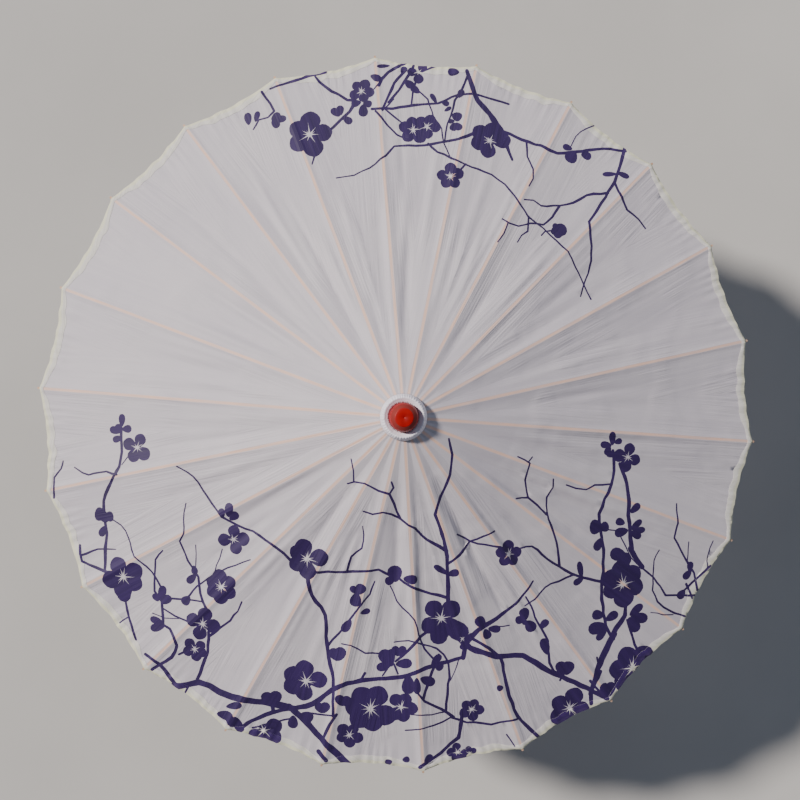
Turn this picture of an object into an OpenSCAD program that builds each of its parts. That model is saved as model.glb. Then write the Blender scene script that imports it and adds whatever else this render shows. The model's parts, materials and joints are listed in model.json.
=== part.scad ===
// Oil paper umbrella, open, on its shaft.
// Origin: centre of the handle's lower end face. +Z runs up the shaft. Millimetres.
// Each long rib turns on the tie wire of the top hub, and each stretcher joins the middle
// of its rib to the runner. Rib and stretcher arms are equally long and both hubs have the
// same pivot circle, so the runner travels straight along the shaft.

/* [Canopy] */
// Number of long ribs, and of stretchers
rib_count = 22; // [22:1:22]
// Distance from the shaft's axis to the rib tips when open
tip_reach = 425; // [380:5:460]
// Slope of the open ribs below level, in degrees
open_slope = 20; // [16:1:26]
// Depth of the fold line halfway between two ribs
fold_depth = 4.5; // [2:0.5:8]
// How far the canopy's edge is hollow between two rib tips
edge_hollow = 5; // [2:0.5:8]
// Width of the hem along the canopy's edge
hem_w = 11; // [8:1:14]

/* [Ribs] */
// Width of a long rib
rib_w = 3.6; // [3.2:0.1:3.6]
// Depth of a long rib, square to the canopy
rib_h = 4; // [3:0.5:5]
// Length of a rib beyond the canopy's edge
rib_end = 3.5; // [2:0.5:5]
// Distance from a rib's hub pivot to its stretcher's pivot, and the stretcher's length
arm = 196; // [180:1:200]
// Thickness of a stretcher
stretcher_t = 2.2; // [1.8:0.1:2.4]

/* [Shaft and handle] */
// Height of the top hub's pivots above the handle's end
hub_z = 545; // [535:1:560]
// Radius of the shaft
shaft_r = 5; // [4.5:0.5:5]
// Length of the handle
handle_len = 104; // [95:1:110]
// Radius of the handle's straight grip
grip_r = 9; // [8:0.5:10]

/* [Hubs] */
// Radius of the circle that the pivots stand on, in the top hub and in the runner
pivot_r = 12; // [12:0.5:13]
// Radius of the slotted flanges
flange_r = 15; // [15:0.5:16]
// Height of the slotted flanges
flange_h = 9; // [8:0.5:10]
// Length of the runner below its pivots
runner_drop = 30; // [26:1:34]

/* [Cap] */
// Radius of the cap
cap_r = 15.8; // [15.5:0.1:18]
// Height of the cap
cap_h = 19; // [16:0.5:22]
// Radius of the cap's flat top
cap_top_r = 9.6; // [9:0.1:11]
// Radius of the gathered collar where it lies on the canopy
collar_r = 24.6; // [24:0.2:28]

/* [Hidden] */
$fn = 48;

step = 360 / rib_count;
half = step / 2;
first_azimuth = 90;

// Clearances: between moving pieces, in running fits, and between pieces fixed together
gap = 0.3;
running = 0.06;
seat = 0.05;

// Rib section, measured square to the line through the rib's two pivots
rib_low = 1;
rib_top = rib_low + rib_h;
tongue_t = 1.9;
eye_r = 1.6;
wire_r = 0.5;
wire_hole_r = 0.75;
pin_r = 0.6;
pin_hole_r = pin_r + running;
blade_t = 1.6;
rib_len = (tip_reach - pivot_r - (rib_low + rib_h / 2) * sin(open_slope)) / cos(open_slope);
lug_slot = blade_t + 2 * gap;

// Heights
runner_z = hub_z - 2 * arm * sin(open_slope);
neck_r = 13;
neck_z = 16;
cap_z = 8;
shaft_low = 18;
shaft_top = hub_z + 14;
stop_z = runner_z + 9;
catch_z = runner_z - runner_drop - 30;

// Canopy: heights square to the rib line, and the cloth's inner and outer reach
cloth_low = rib_top + 0.8;
cloth_t = 0.8;
cloth_in = 14;
cloth_out = tip_reach - rib_end * cos(open_slope) + 1;
fine = 8;
rings = [0, 0.1, 0.25, 0.42, 0.6, 0.78, 0.92, 1];

function numbered(name, i) = str(name, i < 10 ? "_0" : "_", i);
function azimuth(i) = first_azimuth + (i - 1) * step;

// Share of the way from a rib (0) to the fold line halfway between two ribs (1)
function between(a) = let (m = ((a % step) + step) % step) min(m, step - m) / half;

// Reach of the cloth's edge at a share between rib and fold line
function edge_reach(t) =
    cloth_out * cos(half) / cos(half * (1 - t)) - edge_hollow * t * (2 - t);

// Height of a cloth surface that lies lift above the rib line, at reach r and share t
function cloth_z(r, t, lift) =
    let (x = r / tip_reach)
    hub_z + lift / cos(open_slope) - (r - pivot_r) * tan(open_slope)
    - t * (r * tan(open_slope) * (1 / cos(half) - 1) + fold_depth * 4 * x * (1.12 - x));

function cloth_point(a, x, lift) =
    let (t = between(a - first_azimuth), r = cloth_in + x * (edge_reach(t) - cloth_in))
    [r * cos(a), r * sin(a), cloth_z(r, t, lift)];

module place_rib(i) {
    rotate([0, 0, azimuth(i)])
        translate([pivot_r, 0, hub_z])
            rotate([0, open_slope, 0])
                children();
}

module place_stretcher(i) {
    rotate([0, 0, azimuth(i)])
        translate([pivot_r, 0, runner_z])
            rotate([0, -open_slope, 0])
                children();
}

// A plate drawn in the rib's own X-Z plane and given a thickness across it
module plate(t) {
    rotate([90, 0, 0])
        linear_extrude(height = t, center = true)
            children();
}

module cross_hole(x, r, t) {
    translate([x, 0, 0])
        rotate([90, 0, 0])
            cylinder(h = t, r = r, center = true);
}

module rib_bar() {
    translate([0, 0, rib_low])
        linear_extrude(height = rib_h)
            polygon([
                [6, -1.5], [40, -rib_w / 2], [rib_len - 40, -rib_w / 2], [rib_len - 1, -1.3],
                [rib_len, -0.7], [rib_len, 0.7], [rib_len - 1, 1.3],
                [rib_len - 40, rib_w / 2], [40, rib_w / 2], [6, 1.5]
            ]);
}

module long_rib() {
    difference() {
        union() {
            rib_bar();
            plate(tongue_t) {
                circle(r = eye_r);
                polygon([
                    [0.4, -eye_r], [12, rib_low], [12, rib_top - 0.6], [6, rib_top - 1],
                    [-0.4, eye_r]
                ]);
            }
            plate(rib_w) {
                translate([arm, 0])
                    circle(r = 2.2);
                polygon([
                    [arm - 5, rib_low + 0.1], [arm - 2.1, -0.6], [arm + 2.1, -0.6],
                    [arm + 5, rib_low + 0.1]
                ]);
            }
        }
        translate([arm - 6, -lug_slot / 2, -4])
            cube([23, lug_slot, rib_low + 5]);
        cross_hole(0, wire_hole_r, 10);
        cross_hole(arm, pin_hole_r, 10);
    }
}

module stretcher_bar() {
    difference() {
        union() {
            plate(tongue_t) {
                circle(r = eye_r);
                polygon([[0, -eye_r], [14, -2], [14, 2], [0, eye_r]]);
            }
            plate(stretcher_t)
                polygon([
                    [12, -1.95], [18, -2.1], [arm - 18, -2.1], [arm - 15, -1.9],
                    [arm - 15, 1.9], [arm - 18, 2.1], [18, 2.1], [12, 1.95]
                ]);
            plate(blade_t) {
                translate([arm, 0])
                    circle(r = 1.5);
                polygon([
                    [arm - 17, -1.9], [arm - 6, -1.4], [arm, -1.5], [arm, 1.5],
                    [arm - 6, 1.4], [arm - 17, 1.9]
                ]);
            }
        }
        cross_hole(0, wire_hole_r, 10);
        cross_hole(arm, pin_hole_r, 10);
    }
}

module stretcher_assembly() {
    stretcher_bar();
    cross_hole(arm, pin_r, rib_w + 0.4);
}

module hub_slots(z) {
    slot_w = tongue_t + 2 * gap;
    for (i = [1:rib_count])
        rotate([0, 0, azimuth(i)])
            translate([pivot_r - eye_r - 0.4, -slot_w / 2, z - flange_h / 2 - 1])
                cube([flange_r, slot_w, flange_h + 2]);
}

module ring_of_wire(z, r) {
    translate([0, 0, z])
        rotate_extrude()
            translate([pivot_r, 0])
                circle(r = r);
}

module shaft() {
    color("burlywood")
        difference() {
            translate([0, 0, shaft_low])
                cylinder(h = shaft_top - shaft_low, r = shaft_r);
            translate([-3.3, -1.3, catch_z - 3.5])
                cube([12, 2.6, 35]);
            translate([0, 0, catch_z])
                cross_hole(0, 0.8 + seat, 20);
            translate([0, 0, stop_z])
                rotate([0, 90, 0])
                    cylinder(h = 30, r = 1 + seat, center = true);
        }
}

module handle() {
    color("saddlebrown")
        rotate_extrude()
            difference() {
                polygon([
                    [0, 0], [grip_r, 0], [grip_r, 84], [grip_r + 0.8, 85], [grip_r + 0.8, 87],
                    [grip_r, 88], [grip_r + 0.4, 90], [grip_r + 1.4, 92], [grip_r + 1.4, 94.5],
                    [grip_r + 0.4, 96], [grip_r - 0.8, 97], [grip_r - 2, handle_len], [0, handle_len]
                ]);
                translate([0, shaft_low])
                    square([shaft_r + seat, handle_len]);
                translate([0, -1])
                    square([5.5 + seat, 15]);
            }
}

module end_plug() {
    color("black")
        rotate_extrude()
            polygon([[0, 0], [4.6, 0], [5.5, 0.8], [5.5, 14], [0, 14]]);
}

module top_hub() {
    color("tan")
        difference() {
            translate([0, 0, hub_z])
                rotate_extrude()
                    polygon([
                        [shaft_r + seat, -flange_h / 2], [flange_r - 0.6, -flange_h / 2],
                        [flange_r, 0.6 - flange_h / 2], [flange_r, flange_h / 2 - 0.6],
                        [flange_r - 0.6, flange_h / 2], [neck_r, flange_h / 2],
                        [neck_r, neck_z - 0.5], [neck_r - 0.5, neck_z], [0, neck_z],
                        [0, 14 + seat], [shaft_r + seat, 14 + seat]
                    ]);
            hub_slots(hub_z);
            ring_of_wire(hub_z, wire_r + 0.1);
        }
}

module hub_tie_wire() {
    color("silver")
        ring_of_wire(hub_z, wire_r);
}

module stop_pin() {
    color("silver")
        translate([0, 0, stop_z])
            rotate([0, 90, 0])
                cylinder(h = 16, r = 1, center = true);
}

module cap() {
    top = cap_z + cap_h;
    color("firebrick")
        translate([0, 0, hub_z])
            rotate_extrude()
                polygon([
                    [neck_r + seat, cap_z], [cap_r - 0.6, cap_z], [cap_r, cap_z + 0.8],
                    [cap_r - 0.4, top - 8], [cap_r - 1.8, top - 4.8], [cap_top_r + 0.6, top - 0.5],
                    [cap_top_r, top], [0, top], [0, neck_z + seat],
                    [neck_r + seat, neck_z + seat]
                ]);
}

module collar() {
    color("whitesmoke")
        translate([0, 0, hub_z])
            rotate_extrude()
                polygon([
                    [neck_r + seat, 6.9], [collar_r, 2.8], [collar_r + 0.4, 3.6],
                    [collar_r - 1, 7.5], [22, 12.4], [21.2, 13.2], [20.4, 12.8], [18.6, 7.8],
                    [neck_r + seat, 7.8]
                ]);
}

// A closed shell between two cloth surfaces, from one share of the reach to another
module cloth_shell(shares, low, high) {
    cols = rib_count * fine;
    rows = len(shares);
    turn = step / fine;
    surfaces = [
        for (lift = [high, low])
            for (x = shares)
                for (c = [0:cols - 1]) cloth_point(first_azimuth + c * turn, x, lift)
    ];
    function at(s, r, c) = (s * rows + r) * cols + c % cols;
    faces = concat(
        [for (r = [0:rows - 2]) for (c = [0:cols - 1])
            [at(0, r, c), at(0, r, c + 1), at(0, r + 1, c + 1)]],
        [for (r = [0:rows - 2]) for (c = [0:cols - 1])
            [at(0, r, c), at(0, r + 1, c + 1), at(0, r + 1, c)]],
        [for (r = [0:rows - 2]) for (c = [0:cols - 1])
            [at(1, r, c), at(1, r + 1, c + 1), at(1, r, c + 1)]],
        [for (r = [0:rows - 2]) for (c = [0:cols - 1])
            [at(1, r, c), at(1, r + 1, c), at(1, r + 1, c + 1)]],
        [for (c = [0:cols - 1]) [at(0, 0, c), at(1, 0, c), at(1, 0, c + 1)]],
        [for (c = [0:cols - 1]) [at(0, 0, c), at(1, 0, c + 1), at(0, 0, c + 1)]],
        [for (c = [0:cols - 1]) [at(0, rows - 1, c), at(1, rows - 1, c + 1), at(1, rows - 1, c)]],
        [for (c = [0:cols - 1]) [at(0, rows - 1, c), at(0, rows - 1, c + 1), at(1, rows - 1, c + 1)]]);
    polyhedron(points = surfaces, faces = faces, convexity = 6);
}

module canopy() {
    color("ghostwhite")
        cloth_shell(rings, cloth_low, cloth_low + cloth_t);
}

module rim_hem() {
    color("cornsilk")
        cloth_shell([1 - hem_w / (cloth_out - cloth_in), 1],
            cloth_low + cloth_t + 0.1, cloth_low + cloth_t + 0.5);
}

module runner() {
    low = -runner_drop;
    color("tan")
        difference() {
            translate([0, 0, runner_z])
                rotate_extrude()
                    polygon([
                        [shaft_r + running, low], [10.4, low], [11, low + 0.6], [11, low + 3.4],
                        [10.4, low + 4], [8.6, low + 6], [8.6, -8], [9.6, -flange_h / 2],
                        [flange_r - 0.6, -flange_h / 2], [flange_r, 0.6 - flange_h / 2],
                        [flange_r, flange_h / 2 - 0.6], [flange_r - 0.6, flange_h / 2],
                        [8.6, flange_h / 2], [8, 7.5], [shaft_r + running, 7.5]
                    ]);
            hub_slots(runner_z);
            ring_of_wire(runner_z, wire_r + 0.1);
        }
}

module runner_tie_wire() {
    color("silver")
        ring_of_wire(runner_z, wire_r);
}

module catch() {
    color("goldenrod")
        translate([0, 0, catch_z])
            difference() {
                plate(2) {
                    circle(r = 2);
                    polygon([
                        [-1.4, -0.6], [1.4, -0.6], [4.4, 12], [8.2, 27.6], [8, 29.6],
                        [1.2, 29.6], [1.2, 16], [-0.8, 5]
                    ]);
                }
                cross_hole(0, 0.8 + running, 10);
            }
}

module catch_pin() {
    color("silver")
        translate([0, 0, catch_z])
            cross_hole(0, 0.8, 9.6);
}

module catch_spring() {
    color("silver")
        translate([0, 0, catch_z])
            plate(1.6)
                polygon([
                    [-3.25, 6], [-2.75, 6], [-2.55, 10], [0.9, 25], [0.4, 25.2], [-3.05, 10.2]
                ]);
}

shaft();
handle();
end_plug();
top_hub();
hub_tie_wire();
stop_pin();
cap();
collar();
canopy();
rim_hem();
runner();
runner_tie_wire();
catch();
catch_pin();
catch_spring();
for (i = [1:rib_count]) {
    color("peachpuff") place_rib(i) long_rib();
    color("wheat") place_stretcher(i) stretcher_assembly();
}
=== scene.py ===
"""Looks of the oil paper umbrella: printed cloth, hem, collar, cap, and the finish of every other part.

The canopy is 22 gores that meet at the fold lines halfway between the ribs. Each gore rides on
its rib, as a strip over the rib and a flank on either side of it. The share of its width that a
flank could keep between two folded ribs is worked out, but the flanks are not narrowed.
Lengths are metres, and the print is laid out in millimetres on the open canopy seen from above,
with rib 1 towards +Y.
"""

import json
import math

import bpy
import numpy as np
from mathutils import Matrix, Vector
from mathutils.geometry import delaunay_2d_cdt

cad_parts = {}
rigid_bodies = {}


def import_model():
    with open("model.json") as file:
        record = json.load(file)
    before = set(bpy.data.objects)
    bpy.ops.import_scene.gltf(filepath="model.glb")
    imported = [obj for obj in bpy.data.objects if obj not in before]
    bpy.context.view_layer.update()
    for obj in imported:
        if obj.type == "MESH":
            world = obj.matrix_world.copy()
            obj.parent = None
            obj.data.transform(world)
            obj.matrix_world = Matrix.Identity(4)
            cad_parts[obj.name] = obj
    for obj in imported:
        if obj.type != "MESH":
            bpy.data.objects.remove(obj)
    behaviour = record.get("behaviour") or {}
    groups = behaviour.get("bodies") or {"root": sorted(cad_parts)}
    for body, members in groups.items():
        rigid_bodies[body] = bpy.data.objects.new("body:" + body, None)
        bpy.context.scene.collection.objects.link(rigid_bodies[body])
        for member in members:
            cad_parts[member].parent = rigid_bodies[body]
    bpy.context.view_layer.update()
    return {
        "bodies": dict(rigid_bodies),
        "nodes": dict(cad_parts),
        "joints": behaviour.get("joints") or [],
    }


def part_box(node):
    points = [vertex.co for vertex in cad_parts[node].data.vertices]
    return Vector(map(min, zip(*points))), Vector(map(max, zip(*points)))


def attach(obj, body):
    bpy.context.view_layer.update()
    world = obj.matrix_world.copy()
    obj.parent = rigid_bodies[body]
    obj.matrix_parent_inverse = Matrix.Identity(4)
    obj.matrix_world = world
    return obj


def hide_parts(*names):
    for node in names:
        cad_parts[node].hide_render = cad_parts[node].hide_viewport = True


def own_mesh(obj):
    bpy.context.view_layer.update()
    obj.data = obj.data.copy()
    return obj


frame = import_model()
rng = np.random.default_rng(22)

# ---------------------------------------------------------------- sizes, read off the frame

JOINTS = {j["name"]: j for j in frame["joints"]}
RIBS = sum(1 for name in frame["bodies"] if name.startswith("rib_arm"))
STEP = 2 * math.pi / RIBS
HALF = STEP / 2

hub_pivot = Vector(JOINTS["fold"]["pos_m"])
middle_pivot = Vector(JOINTS["stretcher_hinge_01"]["pos_m"])
HUB_Z = hub_pivot.z
PIVOT_R = hub_pivot.y
ARM = (middle_pivot - hub_pivot).length
SLOPE = math.asin((HUB_Z - middle_pivot.z) / ARM)
TAN, COS, SIN = math.tan(SLOPE), math.cos(SLOPE), math.sin(SLOPE)

RIB_HALF_DEPTH = 0.002
TIP_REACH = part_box("rib_01")[1].y - RIB_HALF_DEPTH * SIN
RIB_END = 0.0035
CLOTH_OUT = TIP_REACH - RIB_END * COS + 0.001
CLOTH_IN = 0.0145
EDGE_HOLLOW = 0.005
FOLD_DEPTH = 0.0022
HEM_W = 0.0105
HEM_ROLL = 0.0008
CLOTH_LIFT = 0.0047
CLOTH_T = 0.0004
RIDGE = 0.0009
RIDGE_FLAT, RIDGE_FOOT = 0.0020, 0.0060
FOLD = math.radians(JOINTS["fold"]["range_deg"][1])
FOLDED_ROOM_USED = 0.95


def rib_joint(i):
    return JOINTS["fold" if i == 1 else f"rib_hinge_{i:02d}"]


def rib_azimuth(i):
    x, y, _ = rib_joint(i)["pos_m"]
    return math.atan2(y, x)


# ---------------------------------------------------------------- the cloth's surface


def ease(x, low, high):
    """0 below low, 1 above high, and a smooth step between them."""
    t = np.clip((x - low) / (high - low), 0, 1)
    return t * t * (3 - 2 * t)


def slackness(a):
    """How loose the cloth hangs at azimuth a: tight at the left, loose at the bottom."""
    return 0.46 - 0.3 * np.sin(a) + 0.14 * np.cos(a)


def make_pleats():
    """Long radial folds: start and end reach, azimuth at both, width and height of each."""
    pleats = []
    for i in range(1, RIBS + 1):
        a = rib_azimuth(i) + HALF
        slack = slackness(a) + 0.05
        for _ in range(int(round(2 + 6 * slack))):
            share = rng.uniform(-0.75, 0.75)
            lean = rng.normal(0, 0.14)
            start = rng.uniform(0.04, 0.16)
            end = start + rng.uniform(0.12, 0.26)
            height = rng.choice([-1, 1]) * rng.uniform(0.8, 1.5) * slack * (1 + max(0, -math.sin(a)))
            width = rng.uniform(0.003, 0.007)
            pleats.append((start, end, a + share * HALF, a + (share + lean) * HALF, width, height))
    return pleats


PLEATS = make_pleats()
RIM_WAVES = [(rng.uniform(0.7, 1.3) * k, rng.uniform(0, 6.3)) for k in (61, 97, 143)]
RIDGE_WAVES = [(rng.uniform(20, 45), rng.uniform(5, 20), rng.uniform(0, 6.3)) for _ in range(3)]


def pleat_height(r, a):
    total = np.zeros_like(r)
    for start, end, a0, a1, width, height in PLEATS:
        along = (r - start) / (end - start)
        centre = a0 + (a1 - a0) * along
        across = r * np.sin((a - centre + math.pi) % (2 * math.pi) - math.pi)
        window = ease(along, 0, 0.35) * (1 - ease(along, 0.6, 1))
        total += height * 0.001 * window * np.exp(-((across / width) ** 2))
    return total


def rib_share(a):
    """0 at a rib's azimuth, 1 at the fold line halfway to the next."""
    m = (a - rib_azimuth(1)) % STEP
    return np.minimum(m, STEP - m) / HALF


def edge_reach(a):
    """Reach of the cloth's edge at azimuth a: hollow between the ribs, and a little uneven."""
    t = rib_share(a)
    chord = CLOTH_OUT * math.cos(HALF) / np.cos(HALF * (1 - t))
    uneven = sum(np.sin(k * a + phase) for k, phase in RIM_WAVES)
    return chord - EDGE_HOLLOW * t * (2 - t) + 0.00035 * uneven * ease(t, 0.05, 0.5)


def hem_width(a):
    """The turned hem is narrower where it is pulled over a rib."""
    uneven = np.sin(83 * a + 1) + np.sin(131 * a)
    return HEM_W * (0.55 + 0.45 * ease(rib_share(a), 0, 0.6) + 0.05 * uneven) * COS


def cloth_height(x, y):
    """Height of the cloth's upper side at plan points, as arrays."""
    r = np.hypot(x, y)
    a = np.arctan2(y, x)
    across = r * np.sin(rib_share(a) * HALF)
    width = r * math.sin(HALF)
    w = np.clip((across - RIDGE_FLAT) / np.maximum(width - RIDGE_FLAT, 0.001), 0, 1)
    soft = 0.0035 / np.maximum(width, 0.006)
    crease = np.sqrt((1 - w) ** 2 + soft * soft) - soft
    crease = crease / (np.sqrt(1 + soft * soft) - soft)
    drop = 1 - crease**1.25
    reach = r / TIP_REACH
    slack = slackness(a)
    hollow = FOLD_DEPTH * (0.3 + slack) * 4 * reach**1.5 * (1.25 - reach)
    sag = r * TAN * (1 / math.cos(HALF) - 1) + hollow
    z = HUB_Z + (CLOTH_LIFT + RIDGE) / COS - (r - PIVOT_R) * TAN - drop * sag
    uneven = sum(np.sin(k * r + j * a + phase) for k, j, phase in RIDGE_WAVES) / 3
    low = np.maximum(0, -np.sin(a))
    foot = RIDGE_FOOT + 0.0016 * uneven + 0.0025 * low
    z -= RIDGE * (1 + 0.9 * low) * ease(across, RIDGE_FLAT, foot) * (0.3 + 0.7 * ease(r, 0.04, 0.2))
    z += 0.0003 * (1 - ease(r, 0.016, 0.045))
    z += pleat_height(r, a) * ease(across, 0.002, 0.007)
    loose_edge = ease(r, 0.37, 0.42) * ease(rib_share(a), 0.1, 0.5)
    z += loose_edge * 0.0008 * np.sin(a * 190 + 3 * np.sin(a * 37))
    return z


def folded_share(a):
    """Share of its width that a flank keeps, to fit between two folded ribs, at fold line a."""
    reach = np.linspace(0.08, CLOTH_OUT * math.cos(HALF), 30)
    height = cloth_height(reach * math.cos(a), reach * math.sin(a)) - HUB_Z - CLOTH_T - HEM_ROLL
    out = reach * math.cos(HALF) - PIVOT_R
    folded = PIVOT_R + out * math.cos(FOLD) + height * math.sin(FOLD)
    room = folded * math.tan(HALF) - RIDGE_FLAT
    return FOLDED_ROOM_USED * float((room / (reach * math.sin(HALF) - RIDGE_FLAT)).min())


# ---------------------------------------------------------------- the print

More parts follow.
